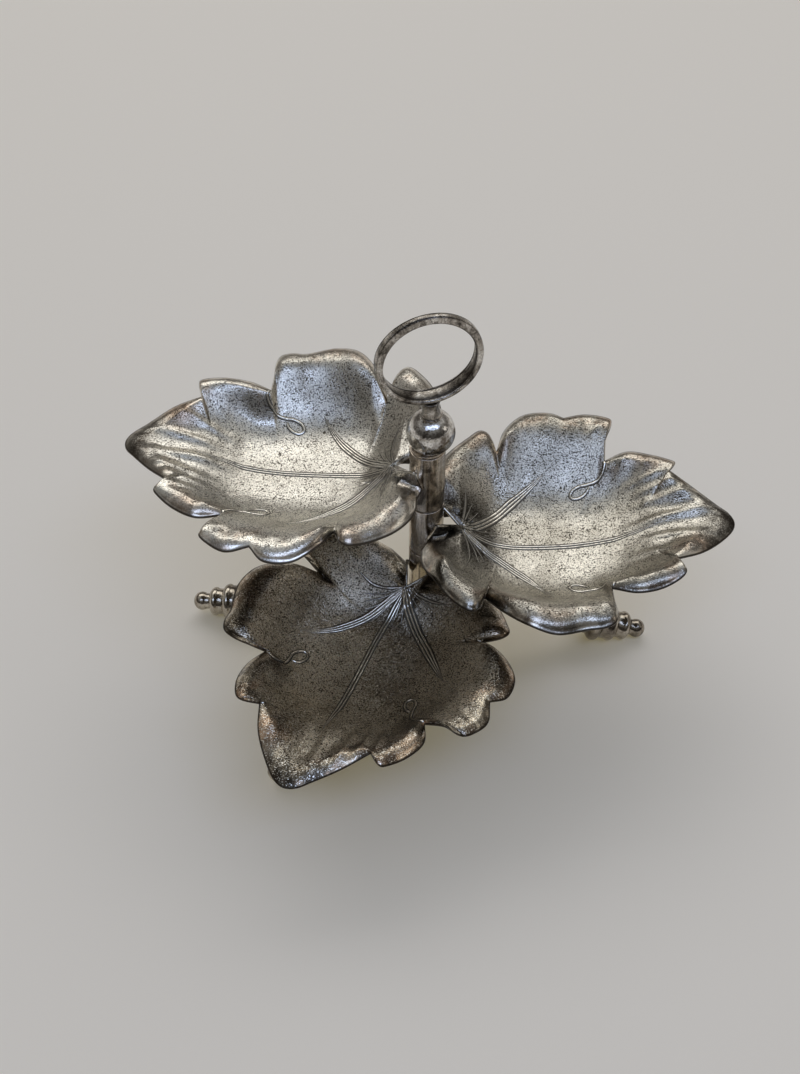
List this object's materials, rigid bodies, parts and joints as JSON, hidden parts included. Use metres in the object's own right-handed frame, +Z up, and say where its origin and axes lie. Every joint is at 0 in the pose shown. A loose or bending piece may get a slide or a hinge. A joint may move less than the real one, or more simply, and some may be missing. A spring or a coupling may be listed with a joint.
{
  "type": "three-section serving tray",
  "caption": "Tiered serving tray: vine-leaf dishes turn one above the other about a column with a ball and a finger ring, on beaded legs.",
  "frame": {"origin": "centre of the base nut's flat underside, on the column's axis; the feet stand 2 mm lower", "axes": "+Z up along the column; +X towards the right, along the middle dish's midrib; +Y away from the front"},
  "size_m": [0.3277, 0.2432, 0.2432],
  "materials": {
    "plated_dish": "silver plate, pebbled and tarnished in the grain, bright on the rolled edges",
    "dark_plate": "silver plate gone dark and brownish, smooth",
    "polished_plate": "silver plate, polished",
    "bare_metal": "bare turned metal, hidden inside the column"
  },
  "bodies": {
    "stand": {"base_nut": "dark_plate", "tie_rod": "bare_metal", "spring_washer": "bare_metal", "leg_washer_lower": "bare_metal", "leg_washer_upper": "bare_metal", "base_washer": "bare_metal", "washer_lower": "bare_metal", "washer_upper": "bare_metal", "cap_washer": "polished_plate", "ball_finial": "polished_plate", "ring_neck": "polished_plate", "finger_ring": "polished_plate"},
    "upper_dish": {"leaf_upper": "plated_dish", "sleeve_upper": "dark_plate"},
    "middle_dish": {"leaf_middle": "plated_dish", "sleeve_middle": "dark_plate"},
    "lower_dish": {"leaf_lower": "plated_dish", "sleeve_lower": "dark_plate"},
    "left_leg": {"eye_left": "dark_plate", "leg_left": "dark_plate"},
    "front_leg": {"eye_front": "dark_plate", "leg_front": "dark_plate"},
    "right_leg": {"eye_right": "dark_plate", "leg_right": "dark_plate"}
  },
  "joints": [
    {"name": "upper_dish_turn", "type": "hinge", "parent": "stand", "child": "upper_dish", "pos_m": [0, 0, 0.13295], "axis": [0, 0, 1], "continuous": true},
    {"name": "middle_dish_turn", "type": "hinge", "parent": "stand", "child": "middle_dish", "pos_m": [0, 0, 0.09465], "axis": [0, 0, 1], "continuous": true},
    {"name": "lower_dish_turn", "type": "hinge", "parent": "stand", "child": "lower_dish", "pos_m": [0, 0, 0.059], "axis": [0, 0, 1], "continuous": true},
    {"name": "left_leg_turn", "type": "hinge", "parent": "stand", "child": "left_leg", "pos_m": [0, 0, 0.0178], "axis": [0, 0, 1], "range_deg": [-30, 22]},
    {"name": "front_leg_turn", "type": "hinge", "parent": "stand", "child": "front_leg", "pos_m": [0, 0, 0.027], "axis": [0, 0, 1], "range_deg": [-18, 40]},
    {"name": "right_leg_turn", "type": "hinge", "parent": "stand", "child": "right_leg", "pos_m": [0, 0, 0.0362], "axis": [0, 0, 1], "range_deg": [-40, 40]}
  ]
}
